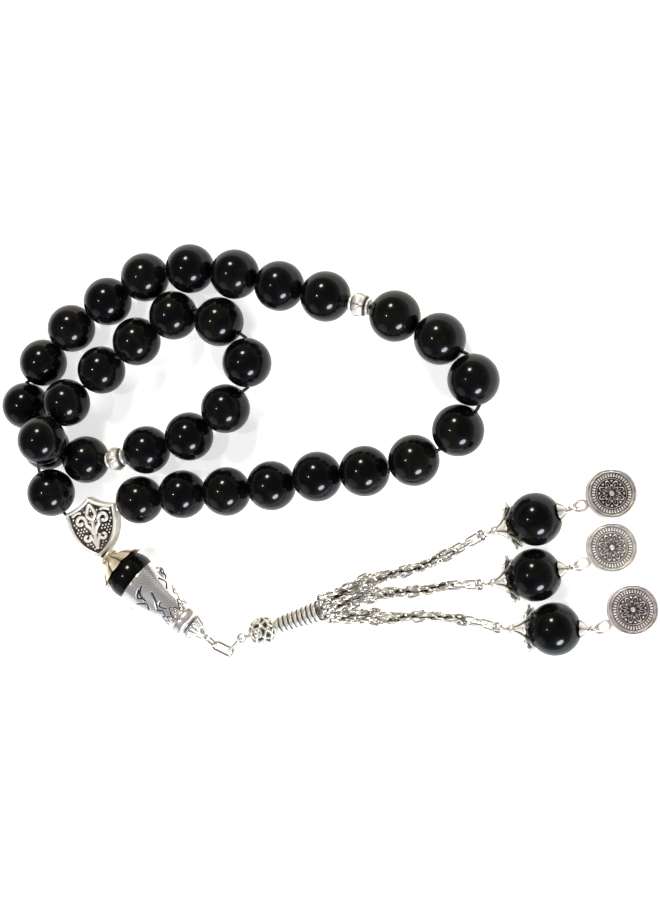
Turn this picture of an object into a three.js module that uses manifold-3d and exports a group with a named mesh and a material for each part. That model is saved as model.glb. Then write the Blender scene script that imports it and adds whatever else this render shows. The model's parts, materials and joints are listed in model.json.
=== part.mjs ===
// Misbaha: thirty-three round beads and two dividers on one cord, a shield connector where the
// cord's ends meet, an imame below it, and a tassel of three chains, each with a bead and a coin.
// Millimetres, +Z up. The loop lies on the plane z = 0; the origin is the middle of the underside.
import * as THREE from 'three';
import Module from 'manifold-3d';
import { mergeVertices } from 'three/addons/utils/BufferGeometryUtils.js';

const wasm = await Module();
wasm.setup();

// Driving dimensions. A radius is called one; a gap is the play between two pieces.
const BEAD_RADIUS = 5;
const BORE_RADIUS = 0.8;
const BEADS_PER_SECTION = 11;
const SECTIONS = 3;
const DIVIDER_RADIUS = 2.5;
const DIVIDER_HALF_LENGTH = 2.1;
const CORD_RADIUS = 0.35;
const CORD_GAP = 0.08; // least play between two neighbours on the cord
const HUG_GAP = 0.3; // between a bead and the cap or cup around it
const WIRE_RADIUS = 0.3;
const EYE_RADIUS = 0.9; // of a wire ring's centre line
const LINK_WIDTH = 2 * EYE_RADIUS;
const LINK_GRIP = 2 * WIRE_RADIUS + 0.2; // how far two interlocked rings overlap, with their play
const SHIELD_DEPTH = 3;
const SHIELD_TOP = 6.4;
const SHIELD_TIP = -6.4;
const TWIN_SPACING = 1; // between the cord's two ends where they run side by side
const TWIN_BORE = 1.2; // radius of a bore that takes both ends
const CHAIN_RADIUS = 0.8;
const COIN_RADIUS = 4.85;
const COIN_DEPTH = 1.4;
const ROUND_SIDES = 12;

const ONYX = { color: 0x0c0c0d, roughness: 0.12, metalness: 0 };
const SILVER = { color: 0xb4afa4, roughness: 0.34, metalness: 1 };
const CORD = { color: 0x0a0a0a, roughness: 0.8, metalness: 0 };

const UP = new THREE.Vector3(0, 0, 1);
const misbaha = new THREE.Group();

// ---- Shared shapes ----

const vector = ([x, y, z]) => new THREE.Vector3(x, y, z);
const radians = THREE.MathUtils.degToRad;

// A unit direction from a compass angle in the ground plane and a rise above it, in degrees.
function heading(turn, rise) {
  const direction = new THREE.Vector3().setFromSphericalCoords(1, radians(90 - rise), 0);
  return direction.set(direction.z, 0, direction.y).applyAxisAngle(UP, radians(turn));
}

// A frame whose Z runs along a direction, whose X is level and whose Y is as upright as it can be.
function frameAt(place, direction) {
  const z = direction.clone().normalize();
  const x = new THREE.Vector3().crossVectors(UP, z).normalize();
  const y = new THREE.Vector3().crossVectors(z, x);
  return new THREE.Matrix4().makeBasis(x, y, z).setPosition(place);
}

// A named piece, in a frame of its own, added to the model.
function add(name, geometry, finish, frame) {
  const mesh = new THREE.Mesh(geometry, new THREE.MeshStandardMaterial(finish));
  mesh.name = name;
  mesh.applyMatrix4(frame);
  misbaha.add(mesh);
}

// A closed profile of [radius, height] pairs, turned about local Z.
function turned(profile, sides = ROUND_SIDES) {
  const points = profile.map(([radius, height]) => new THREE.Vector2(radius, height));
  return new THREE.LatheGeometry(points, sides).rotateX(Math.PI / 2);
}

// Profile points on a sphere about the local origin, from one height to another.
function sphereArc(radius, from, to, steps) {
  const first = Math.asin(from / radius);
  const last = Math.asin(to / radius);
  return Array.from({ length: steps + 1 }, (_, i) => {
    const angle = first + ((last - first) * i) / steps;
    return [radius * Math.cos(angle), radius * Math.sin(angle)];
  });
}

function boredBall(radius, bore, steps = 6) {
  const mouth = Math.sqrt(radius ** 2 - bore ** 2);
  const profile = sphereArc(radius, -mouth, mouth, steps);
  return turned([...profile, profile[0]]);
}

// A rod about local Z.
function rod(radius, from, to, sides = 8) {
  return turned([[0, from], [radius, from], [radius, to], [0, to]], sides);
}

// A wire link that lies level. It runs along local Z and its near arc is centred on the origin.
function levelLink(length) {
  const sides = 12;
  const link = new THREE.TorusGeometry(EYE_RADIUS, WIRE_RADIUS, 6, sides).rotateZ(Math.PI / sides);
  const position = link.attributes.position;
  for (let i = 0; i < position.count; i++) {
    if (position.getY(i) > 0) position.setY(i, position.getY(i) + length - LINK_WIDTH);
  }
  return link.rotateX(Math.PI / 2);
}

const standingLink = (length) => levelLink(length).rotateZ(Math.PI / 2);
const levelEye = () => levelLink(LINK_WIDTH);
const standingEye = () => standingLink(LINK_WIDTH);

// A curve that runs straight from each point to the next, with equal steps ending at the points.
class StraightRuns extends THREE.Curve {
  constructor(points) {
    super();
    this.points = points;
  }

  getPoint(t, target = new THREE.Vector3()) {
    const place = t * (this.points.length - 1);
    const run = THREE.MathUtils.clamp(Math.floor(place), 0, this.points.length - 2);
    return target.lerpVectors(this.points[run], this.points[run + 1], place - run);
  }

  getUtoTmapping(u) {
    return u;
  }
}

function roundTube(radius, path, steps) {
  const sides = 8;
  const corners = Array.from({ length: sides }, (_, i) => {
    const angle = (2 * Math.PI * (i + 0.5)) / sides;
    return new THREE.Vector2(radius * Math.cos(angle), radius * Math.sin(angle));
  });
  return new THREE.ExtrudeGeometry(new THREE.Shape(corners), { steps, extrudePath: path });
}

// ---- Joining and cutting ----

function solid(geometry, frame = new THREE.Matrix4()) {
  const bare = geometry.clone().applyMatrix4(frame);
  bare.deleteAttribute('normal');
  bare.deleteAttribute('uv');
  const merged = mergeVertices(bare, 1e-4);
  const triVerts = new Uint32Array(merged.index.array);
  return new wasm.Manifold(new wasm.Mesh({
    numProp: 3,
    vertProperties: merged.attributes.position.array,
    triVerts,
  }));
}

function geometryOf(body) {
  const { vertProperties, triVerts } = body.getMesh();
  const geometry = new THREE.BufferGeometry();
  geometry.setAttribute('position', new THREE.BufferAttribute(new Float32Array(vertProperties), 3));
  geometry.setIndex(new THREE.BufferAttribute(new Uint32Array(triVerts), 1));
  geometry.computeVertexNormals();
  return geometry;
}

const joined = (...solids) => geometryOf(solids.reduce((whole, next) => whole.add(next)));
const raised = (height) => new THREE.Matrix4().makeTranslation(0, 0, height);

// ---- The loop of beads ----

// The route of the loop, from the first bead round to the last: through the far bend, back over
// the top, down the left side, under the crossing, round the inner bend and over the crossing.
const LOOP_ROUTE = [
  [-40.7, -11, 5], [-30.5, -9.5, 5], [-20.5, -8.6, 5], [-10.5, -7.1, 5], [-0.7, -5, 5],
  [9.5, -3.6, 5], [19.5, -1.2, 5], [28, 4.6, 5], [31, 14.2, 5], [24, 22.3, 5], [15.2, 26.5, 5], [8, 28.8, 5],
  [-9, 32.8, 5], [-18.4, 35.3, 5], [-28.6, 36.7, 5], [-39, 35.2, 5], [-48, 30.3, 5], [-57, 24.6, 5],
  [-64, 17.2, 5], [-68.2, 7.8, 5], [-62.8, -0.7, 5], [-53.3, -2.9, 5], [-46.4, -2.6, 5],
  [-38.6, -0.4, 5], [-28.8, 2.6, 5], [-20.6, 8.5, 5], [-16, 17.8, 5], [-22.4, 26, 5], [-32.9, 27.2, 5],
  [-41.4, 21.8, 5], [-50, 15.6, 5.2], [-56.8, 8.9, 7.6], [-58.6, 1.2, 14], [-59.6, -9.9, 9],
  [-58, -18, 6.6],
].map(vector);

// The beads after which the cord shows, and how much of it beyond the least play.
const LOOSE_AFTER = {
  6: 0.25, 7: 0.5, 9: 0.15, 11: 0.25, 15: 0.4, 17: 0.3, 19: 0.2, 22: 0.2, 23: 0.25,
  25: 0.4, 26: 0.25, 27: 0.35, 29: 0.15, 30: 0.1, 31: 0.15, 32: 2.3,
};

// The pieces on the cord, in order, with half of what each takes of it and the play after it.
const strand = [];
for (let i = 1; i <= SECTIONS * BEADS_PER_SECTION; i++) {
  const play = CORD_GAP + (LOOSE_AFTER[i] ?? 0);
  strand.push({ name: `bead_${String(i).padStart(2, '0')}`, half: BEAD_RADIUS, play });
  if (i % BEADS_PER_SECTION === 0 && i < SECTIONS * BEADS_PER_SECTION) {
    strand.push({ name: `divider_${i / BEADS_PER_SECTION}`, half: DIVIDER_HALF_LENGTH, play });
  }
}

// Each piece's middle is one straight pitch on from the last one's, along the route.
function placeAlong(pieces, route) {
  const samples = new THREE.CatmullRomCurve3(route, false, 'centripetal').getSpacedPoints(20000);
  let placed = 0;
  for (const sample of samples) {
    const last = pieces[placed - 1];
    const piece = pieces[placed];
    if (piece && (!last || sample.distanceTo(last.middle) >= last.half + last.play + piece.half)) {
      piece.middle = sample;
      placed += 1;
    }
  }
}

placeAlong(strand, LOOP_ROUTE);

// ---- The shield connector ----

const shieldFrame = new THREE.Matrix4()
  .makeRotationFromEuler(new THREE.Euler(0, radians(5), radians(13), 'ZYX'))
  .setPosition(-50.9, -17, 5.6);

const onShield = (x, y) => new THREE.Vector3(x, y, 0).applyMatrix4(shieldFrame);

// The outline has a peak, two concave top edges, shoulders and bowed sides that meet at the tip.
function shieldOutline(scale) {
  const shoulder = { x: 5.7 * scale, y: 4 * scale };
  const outline = new THREE.Shape();
  outline.moveTo(0, SHIELD_TOP * scale);
  outline.quadraticCurveTo(-2.4 * scale, 4.4 * scale, -shoulder.x, shoulder.y);
  outline.bezierCurveTo(-6 * scale, 0, -4.6 * scale, -4.6 * scale, 0, SHIELD_TIP * scale);
  outline.bezierCurveTo(4.6 * scale, -4.6 * scale, 6 * scale, 0, shoulder.x, shoulder.y);
  outline.quadraticCurveTo(2.4 * scale, 4.4 * scale, 0, SHIELD_TOP * scale);
  return outline;
}

function shieldPlate(scale, from, to) {
  const plate = new THREE.ExtrudeGeometry(shieldOutline(scale), {
    depth: to - from,
    bevelEnabled: false,
    curveSegments: 5,
  });
  return plate.translate(0, 0, from);
}

// ---- The imame's frame, about its bead ----

const imameAim = heading(-37.3, -6.5);
const imameFrame = frameAt(new THREE.Vector3(-42.4, -27, 5.6), imameAim);
const inImame = (x, z) => new THREE.Vector3(x, 0, z).applyMatrix4(imameFrame);
const CAP_NECK = -5.9;
const SLEEVE_MOUTH = 1.8;
const KNOT = 7;
const CONE_END = 20.1;
const PIN_EYE = 21.3;
const PIN_LOOP = 2.8; // length of the eye pin's oval eye

// ---- The cord ----

// Each end runs from the knot inside the imame, up through its bore and the shield, to the loop.
function cordEnd(side) {
  const twin = (side * TWIN_SPACING) / 2;
  return [
    inImame(twin, KNOT),
    inImame(twin, CAP_NECK - 0.5),
    onShield(twin, SHIELD_TIP + 0.4),
    onShield(side * 5.2, 2.4),
  ];
}

const firstEnd = cordEnd(1);
const lastEnd = cordEnd(-1).reverse();

// Each piece turns until the cord, pulled taut, enters and leaves it in line with its bore.
const TAUT_ROUNDS = 30;
for (const piece of strand) {
  piece.entry = piece.middle;
  piece.exit = piece.middle;
}
for (let round = 0; round < TAUT_ROUNDS; round++) {
  strand.forEach((piece, i) => {
    const before = i > 0 ? strand[i - 1].exit : firstEnd.at(-1);
    const after = i < strand.length - 1 ? strand[i + 1].entry : lastEnd[0];
    piece.axis = new THREE.Vector3().subVectors(after, before).normalize();
    piece.entry = piece.middle.clone().addScaledVector(piece.axis, -piece.half);
    piece.exit = piece.middle.clone().addScaledVector(piece.axis, piece.half);
  });
}

const cordPoints = [...firstEnd, ...strand.flatMap(({ entry, exit }) => [entry, exit]), ...lastEnd];
const cordTube = roundTube(CORD_RADIUS, new StraightRuns(cordPoints), cordPoints.length - 1);
const knot = solid(new THREE.SphereGeometry(TWIN_SPACING + 0.2, 8, 6), raised(KNOT).premultiply(imameFrame));
add('string', joined(solid(cordTube), knot), CORD, new THREE.Matrix4());

for (const piece of strand) {
  const frame = frameAt(piece.middle, piece.axis);
  if (piece.half === BEAD_RADIUS) {
    add(piece.name, boredBall(BEAD_RADIUS, BORE_RADIUS), ONYX, frame);
  } else {
    const { half } = piece;
    const waist = DIVIDER_RADIUS * 0.72;
    const profile = [
      [BORE_RADIUS, -half], [1.4, -half], [waist, -0.6 * half], [DIVIDER_RADIUS, 0],
      [waist, 0.6 * half], [1.4, half], [BORE_RADIUS, half], [BORE_RADIUS, -half],
    ];
    add(piece.name, turned(profile), SILVER, frame);
  }
}

// The shield is cut by a passage for each end of the cord and by the sunk ground inside its rim.
function shield() {
  const toShield = shieldFrame.clone().invert();
  const half = SHIELD_DEPTH / 2;
  let body = solid(shieldPlate(1, -half, half));
  body = body.subtract(solid(shieldPlate(0.84, half - 0.5, half + 1)));
  for (const end of [[...cordEnd(1), strand[0].entry], [...cordEnd(-1), strand.at(-1).exit]]) {
    const passage = new StraightRuns(end.slice(1).map((point) => point.clone().applyMatrix4(toShield)));
    body = body.subtract(solid(roundTube(BORE_RADIUS, passage, 3)));
  }
  return geometryOf(body);
}

add('shield', shield(), SILVER, shieldFrame);

// ---- The imame: cap, bead, sleeve and the pin that the tassel hangs from ----

// A cap that hugs a bead on its -Z side, with a neck below it. Its outer face follows the bead.
function flowerCap(neckEnd, neckRadius, bore, rimHeight) {
  const inner = BEAD_RADIUS + HUG_GAP;
  const outer = inner + 0.45;
  const shoulder = -Math.sqrt(outer ** 2 - neckRadius ** 2);
  const seat = -Math.sqrt(inner ** 2 - bore ** 2);
  return turned([
    [bore, neckEnd], [neckRadius, neckEnd],
    ...sphereArc(outer, shoulder, rimHeight, 4),
    ...sphereArc(inner, rimHeight, seat, 4),
    [bore, neckEnd],
  ]);
}

add('imame_cap', flowerCap(CAP_NECK - 0.3, 1.7, TWIN_BORE, -2.2), SILVER, imameFrame);
add('imame_bead', boredBall(BEAD_RADIUS, TWIN_BORE), ONYX, imameFrame);

// A hollow vase: its mouth cups the bead, its foot is a flange and a cone bored for the pin.
function imameSleeve() {
  const cup = BEAD_RADIUS + HUG_GAP;
  const hollow = 2;
  const pinBore = 0.75;
  const cupRadius = Math.sqrt(cup ** 2 - SLEEVE_MOUTH ** 2);
  const seat = Math.sqrt(cup ** 2 - hollow ** 2);
  return turned([
    [pinBore, CONE_END], [pinBore, 12.4], [hollow, 11.6], [hollow, seat],
    ...sphereArc(cup, seat, SLEEVE_MOUTH, 3).slice(1),
    [cupRadius + 0.4, SLEEVE_MOUTH], [4.5, 6.5], [3.35, 10.1], [3.1, 13.4], [3.75, 14.1],
    [3.75, 15.8], [3, 16.2], [1.1, CONE_END], [pinBore, CONE_END],
  ], 16);
}

add('imame_sleeve', imameSleeve(), SILVER, imameFrame);

const pinHead = 8.8;
add('imame_eye_pin', joined(
  solid(rod(1.2, pinHead, pinHead + 0.6)),
  solid(rod(0.4, pinHead + 0.3, PIN_EYE - EYE_RADIUS)),
  solid(standingLink(PIN_LOOP), raised(PIN_EYE)),
), SILVER, imameFrame);

// ---- The links between the imame and the tassel ----

const LINK_LENGTH = 4.6;

// The arc's centre of a ring that points along `aim` and hangs in a parent ring. The parent's arc
// has its centre at `arc` and lies across `flat`, and the ring slides to the side that `aim` faces.
function hungIn(arc, flat, aim) {
  const contact = aim.clone().projectOnPlane(flat).normalize();
  return arc.clone().addScaledVector(contact, EYE_RADIUS).addScaledVector(aim, EYE_RADIUS - LINK_GRIP);
}

const sideOf = (frame) => new THREE.Vector3().setFromMatrixColumn(frame, 0);
const topOf = (frame) => new THREE.Vector3().setFromMatrixColumn(frame, 1);

const firstAim = heading(-26, -14);
const pinFarArc = inImame(0, PIN_EYE + PIN_LOOP - LINK_WIDTH);
const firstLink = frameAt(hungIn(pinFarArc, sideOf(imameFrame), firstAim), firstAim);
const firstFarArc = new THREE.Vector3(0, 0, LINK_LENGTH - LINK_WIDTH).applyMatrix4(firstLink);
const secondAim = heading(43, 20);
const secondLink = frameAt(hungIn(firstFarArc, topOf(firstLink), secondAim), secondAim);
const secondFarArc = new THREE.Vector3(0, 0, LINK_LENGTH - LINK_WIDTH).applyMatrix4(secondLink);
add('tassel_link_1', levelLink(LINK_LENGTH), SILVER, firstLink);
add('tassel_link_2', standingLink(LINK_LENGTH), SILVER, secondLink);

// ---- The tassel's head: an eye and shaft that carry a ball and end in a ribbed tube ----

const BALL_RADIUS = 3;
const BALL_MIDDLE = 5;
const TUBE_START = 8.4;
const TUBE_END = 18.4;
const headAim = heading(21.6, -1);
const head = frameAt(hungIn(secondFarArc, sideOf(secondLink), headAim), headAim);

// The tube widens towards its mouth and has a rib at each step.
function ribbedTube() {
  const ribs = 8;
  const pitch = (TUBE_END - TUBE_START) / ribs;
  const profile = [[0, TUBE_START]];
  for (let i = 0; i < ribs; i++) {
    const radius = 1.25 + (0.75 * i) / (ribs - 1);
    const start = TUBE_START + i * pitch;
    profile.push([radius * 0.85, start], [radius, start + pitch * 0.5]);
  }
  profile.push([1.7, TUBE_END], [0, TUBE_END]);
  return turned(profile);
}

add('tassel_tube', joined(
  solid(levelEye()),
  solid(rod(0.4, EYE_RADIUS, TUBE_START + 1)),
  solid(ribbedTube()),
), SILVER, head);
add('tassel_ball', boredBall(BALL_RADIUS, BORE_RADIUS), SILVER, raised(BALL_MIDDLE).premultiply(head));

// ---- The three strands of the tassel ----

const PIN_NEAR_EYE = -10.2;
const PIN_FAR_EYE = 7.7;
const PIN_RADIUS = 0.35;
const CAP_END = -8.7;

// Each strand has its chain's place at the tube's mouth, the chain's hand-laid route from there,
// its bead's middle, its pin's and coin's headings in degrees and the length of its coin's bail.
const STRANDS = [
  {
    letter: 'a', side: 1.9, bead: [43.1, -11.8, 5], pin: [18, 4], coin: [24, -23.5], bail: 2.4,
    route: [
      [3.4, -28.6, 1.2], [8.6, -25.9, 1], [12, -24.8, 1], [16, -23.6, 1], [20.4, -22, 1],
      [24.6, -20, 1.4], [28.4, -17.8, 2.6],
    ],
  },
  {
    letter: 'b', side: 0, bead: [43.1, -22.3, 5], pin: [14, 2], coin: [32, -20], bail: 2.8,
    route: [
      [5, -30.1, 1.4], [8.8, -28.7, 1], [12.5, -28.1, 1], [16.4, -27.7, 1], [20.6, -26.9, 1],
      [24.6, -26, 1.2], [28.4, -25.4, 2.6],
    ],
  },
  {
    letter: 'c', side: -1.9, bead: [46.9, -32.3, 5], pin: [4, 2], coin: [33, -20], bail: 2.8,
    route: [
      [5.4, -33.2, 1.2], [8.8, -32.9, 1], [13, -33.1, 1], [17, -32.6, 1], [21.5, -32.1, 1],
      [26, -32.3, 1.2], [31.4, -32.4, 2.6],
    ],
  },
];

// A chain starts as a ball at the tube's mouth, follows its route and ends in a level ring.
function chain(start, route, ringFrame) {
  const ring = new THREE.Vector3().setFromMatrixPosition(ringFrame);
  const aim = new THREE.Vector3().setFromMatrixColumn(ringFrame, 2);
  const end = ring.clone().addScaledVector(aim, -EYE_RADIUS);
  const path = new THREE.CatmullRomCurve3([start, ...route.map(vector), end], false, 'centripetal');
  const root = new THREE.SphereGeometry(CHAIN_RADIUS, 8, 6);
  return joined(
    solid(root, new THREE.Matrix4().setPosition(start)),
    solid(roundTube(CHAIN_RADIUS, path, 16)),
    solid(levelEye(), ringFrame),
  );
}

// A pin with an eye at each end and a small end cap that keeps the bead on.
function beadPin() {
  const capSeat = BEAD_RADIUS + HUG_GAP;
  return joined(
    solid(standingEye(), raised(PIN_NEAR_EYE)),
    solid(rod(PIN_RADIUS, PIN_NEAR_EYE + EYE_RADIUS, PIN_FAR_EYE - EYE_RADIUS)),
    solid(turned([
      [0, capSeat], [2.1, capSeat], [1.7, capSeat + 0.7], [0.6, capSeat + 1.3], [0, capSeat + 1.3],
    ])),
    solid(standingEye(), raised(PIN_FAR_EYE)),
  );
}

// A coin with a raised rim, its faces up and down, on a level bail whose near arc is the origin.
function coin(bail) {
  const middle = bail - EYE_RADIUS + 0.1 + COIN_RADIUS;
  const half = COIN_DEPTH / 2;
  const sunk = half - 0.25;
  const disc = turned([
    [0, -half], [COIN_RADIUS - 0.3, -half], [COIN_RADIUS, 0], [COIN_RADIUS - 0.3, half],
    [COIN_RADIUS - 0.8, half], [COIN_RADIUS - 1, sunk], [0, sunk],
  ], 24);
  disc.rotateX(-Math.PI / 2).translate(0, 0, middle);
  return joined(solid(levelLink(bail)), solid(disc));
}

for (const { letter, side, bead, pin, coin: coinTurn, bail, route } of STRANDS) {
  const pinAim = heading(...pin);
  const pinFrame = frameAt(vector(bead), pinAim);
  const along = (distance) => vector(bead).addScaledVector(pinAim, distance);
  const start = new THREE.Vector3(side, 0, TUBE_END + CHAIN_RADIUS + 0.35).applyMatrix4(head);
  const ringWire = along(PIN_NEAR_EYE + LINK_GRIP - EYE_RADIUS);
  const ringAim = ringWire.clone().sub(vector(route.at(-1))).normalize();
  const ringFrame = frameAt(ringWire.clone().addScaledVector(ringAim, -EYE_RADIUS), ringAim);
  const coinAim = heading(...coinTurn);
  const coinFrame = frameAt(hungIn(along(PIN_FAR_EYE), sideOf(pinFrame), coinAim), coinAim);
  add(`chain_${letter}`, chain(start, route, ringFrame), SILVER, new THREE.Matrix4());
  add(`flower_cap_${letter}`, flowerCap(CAP_END, 1.1, BORE_RADIUS, -3.4), SILVER, pinFrame);
  add(`tassel_pin_${letter}`, beadPin(), SILVER, pinFrame);
  add(`tassel_bead_${letter}`, boredBall(BEAD_RADIUS, BORE_RADIUS), ONYX, pinFrame);
  add(`coin_${letter}`, coin(bail), SILVER, coinFrame);
}

// The origin is the middle of the underside of the whole.
const bounds = new THREE.Box3().setFromObject(misbaha, true);
misbaha.position.set(-(bounds.min.x + bounds.max.x) / 2, -(bounds.min.y + bounds.max.y) / 2, -bounds.min.z);

export default misbaha;
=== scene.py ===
"""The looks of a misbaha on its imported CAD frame: polished black beads, antique silver and a black cord."""
import json
import math

import bpy
import numpy as np
from mathutils import Matrix, Vector


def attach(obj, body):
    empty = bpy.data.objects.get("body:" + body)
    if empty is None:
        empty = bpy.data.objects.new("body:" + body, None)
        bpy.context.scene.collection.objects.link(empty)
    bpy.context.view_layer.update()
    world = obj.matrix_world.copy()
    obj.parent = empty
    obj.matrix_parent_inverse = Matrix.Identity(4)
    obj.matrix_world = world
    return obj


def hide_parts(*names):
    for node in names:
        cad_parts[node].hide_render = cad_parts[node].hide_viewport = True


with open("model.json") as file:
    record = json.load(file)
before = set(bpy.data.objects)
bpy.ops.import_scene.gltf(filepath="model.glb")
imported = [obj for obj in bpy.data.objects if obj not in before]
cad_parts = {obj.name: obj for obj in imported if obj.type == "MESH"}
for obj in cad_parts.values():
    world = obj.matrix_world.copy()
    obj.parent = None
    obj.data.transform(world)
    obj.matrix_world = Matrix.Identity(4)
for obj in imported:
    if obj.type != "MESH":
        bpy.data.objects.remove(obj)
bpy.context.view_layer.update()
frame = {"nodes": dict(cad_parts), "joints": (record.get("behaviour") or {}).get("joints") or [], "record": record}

# Local shapes are in millimetres, in the frame of the piece that they belong to.
MM = 0.001
UP = Vector((0, 0, 1))
BEAD_RADIUS = 5
BORE_RADIUS = 0.55
DIVIDER_HALF_LENGTH = 2.1
CORD_RADIUS = 0.35
CAP_GAP = 0.3
WIRE_RADIUS = 0.3
EYE_RADIUS = 0.9
LINK_GRIP = 0.8
LINK_LENGTH = 4.6
PIN_LOOP = 2.8
SHIELD_DEPTH = 3
TWIN_SPACING = 1
BALL_RADIUS = 3
TUBE_START = 8.4
TUBE_END = 18.4
COIN_RADIUS = 4.85
COIN_DEPTH = 1.4
COIN_RELIEF = 0.3
STRANDS = "abc"

JOINTS = {joint["name"]: joint for joint in frame["joints"]}
MOUNTS = {mount["name"]: mount for mount in frame["record"]["mounts"]}


# ---- Frames ----


def frame_at(place, direction):
    """From millimetres to the row frame: Z along the direction, X level and Y as upright as it can be."""
    z = Vector(direction).normalized()
    x = UP.cross(z).normalized()
    turn = Matrix((x, z.cross(x), z)).transposed().to_4x4()
    return Matrix.Translation(place) @ turn @ Matrix.Scale(MM, 4)


def heading(turn, rise):
    """A unit direction from a compass angle in the ground plane and a rise above it, in degrees."""
    level = math.cos(math.radians(rise))
    compass = math.radians(turn)
    return Vector((level * math.cos(compass), level * math.sin(compass), math.sin(math.radians(rise))))


def place_of(joint):
    return Vector(JOINTS[joint]["pos_m"])


def spin_frame(node):
    """The frame of a piece that turns on the cord, the imame or a pin."""
    joint = JOINTS[f"{node}_spin"]
    return frame_at(joint["pos_m"], joint["axis"])


def centroid(node):
    total = Vector()
    vertices = frame["nodes"][node].data.vertices
    for vertex in vertices:
        total += vertex.co
    return total / len(vertices)


def shield_frame():
    """X across the shield, Y up to its peak and Z out of its face, from the middle of its depth."""
    mount = MOUNTS["shield_back"]
    z = -Vector(mount["axis"])
    y = UP.cross(z).normalized()
    turn = Matrix((y.cross(z), y, z)).transposed().to_4x4()
    middle = Vector(mount["pos_m"]) + z * (SHIELD_DEPTH / 2) * MM
    return Matrix.Translation(middle) @ turn @ Matrix.Scale(MM, 4)


SHIELD = shield_frame()
IMAME = spin_frame("imame_bead")


# ---- Shapes ----


class Shape:
    """Vertices and faces in millimetres. Each vertex has a tone: 0 is deep and dark, 1 high and bright. It is
    mostly patina in the hollows, and on the rope's links it is a painted highlight and shade.
    """

    def __init__(self):
        self.points = []
        self.polish_and_painted_light = []
        self.faces = []

    def add(self, points, faces, polish_and_painted_light=1.0):
        first = len(self.points)
        self.points.extend(points)
        self.polish_and_painted_light.extend(np.broadcast_to(polish_and_painted_light, len(points)))
        self.faces.extend([first + i for i in face] for face in faces)

    def grid(self, rows, polish_and_painted_light=1.0, around=True, along=False, capped=False, keep=None):
        """A net of quads over an array of rows of points. keep says which quads stay."""
        count, width = rows.shape[:2]
        faces = []
        for i in range(count if along else count - 1):
            for j in range(width if around else width - 1):
                if keep is None or keep[i, j]:
                    here, below = i * width, (i + 1) % count * width
                    beside = (j + 1) % width
                    faces.append((here + j, here + beside, below + beside, below + j))
        if capped:
            faces.append(tuple(reversed(range(width))))
            faces.append(tuple(range((count - 1) * width, count * width)))
        polish_and_painted_light = np.broadcast_to(polish_and_painted_light, (count, width)).reshape(-1)
        self.add([tuple(p) for p in rows.reshape(-1, 3)], faces, polish_and_painted_light)

    def moved(self, matrix):
        """This shape in another frame, in millimetres still."""
        self.points = [tuple(matrix @ Vector(p)) for p in self.points]
        return self

    def join(self, other):
        self.add(other.points, other.faces, other.polish_and_painted_light)
        return self

    def build(self, name, body, material, matrix, replaces=(), slot="silver", solidify=None):
        """Makes the piece, in the frame of that matrix, and lets it ride on the body."""
        mesh = bpy.data.meshes.new(name)
        mesh.from_pydata([matrix @ Vector(p) for p in self.points], [], self.faces)
        mesh.update()
        mesh.shade_smooth()
        layer = mesh.attributes.new("polish_and_painted_light", "FLOAT", "POINT")
        layer.data.foreach_set("value", np.array(self.polish_and_painted_light, np.float32))
        mesh.materials.append(material)
        piece = bpy.data.objects.new(name, mesh)
        bpy.context.scene.collection.objects.link(piece)
        if solidify:
            thick = piece.modifiers.new("thickness", "SOLIDIFY")
            thick.thickness = solidify * MM
            thick.offset = -1
        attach(piece, body)
        if replaces:
            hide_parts(*replaces)
        return piece


def spread(profile, spacing):
    """Points at about that spacing along straight runs between the given ones, which stay."""
    made = []
    for start, end in zip(profile, profile[1:]):
        steps = max(1, round(math.dist(start, end) / spacing))
        made.extend(np.array(start) + (np.array(end) - start) * i / steps for i in range(steps))
    made.append(np.array(profile[-1], float))
    return np.array(made)


def eased(profile, per_run=8):
    """A smooth curve through a few points of a profile or route."""
    points = np.array(profile, float)
    ghosts = np.vstack([2 * points[0] - points[1], points, 2 * points[-1] - points[-2]])
    made = []
    for i in range(len(points) - 1):
        p0, p1, p2, p3 = ghosts[i : i + 4]
        for step in range(per_run):
            t = step / per_run
            bend = 2 * p1 + (p2 - p0) * t + (2 * p0 - 5 * p1 + 4 * p2 - p3) * t**2
            made.append((bend + (3 * p1 - p0 - 3 * p2 + p3) * t**3) / 2)
    made.append(points[-1])
    return np.array(made)


def turned(radius, angle, height):
    """Points from cylinder coordinates about Z. Each may be a number or an array."""
    radius, angle, height = np.broadcast_arrays(radius, angle, height)
    return np.stack([radius * np.cos(angle), radius * np.sin(angle), height], axis=-1)


def angles(count):
    return np.linspace(0, 2 * math.pi, count, endpoint=False)[None, :]


def lathe(profile, sides=48, polish_and_painted_light=1.0, closed=False):
    """A plain turned shape. The profile's ends lie near the axis, or it closes on itself."""
    profile = np.asarray(profile, float)
    if np.ndim(polish_and_painted_light):
        polish_and_painted_light = np.reshape(polish_and_painted_light, (-1, 1))
    shape = Shape()
    rows = turned(profile[:, :1], angles(sides), profile[:, 1:])
    shape.grid(rows, polish_and_painted_light, along=closed, capped=not closed)
    return shape


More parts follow.
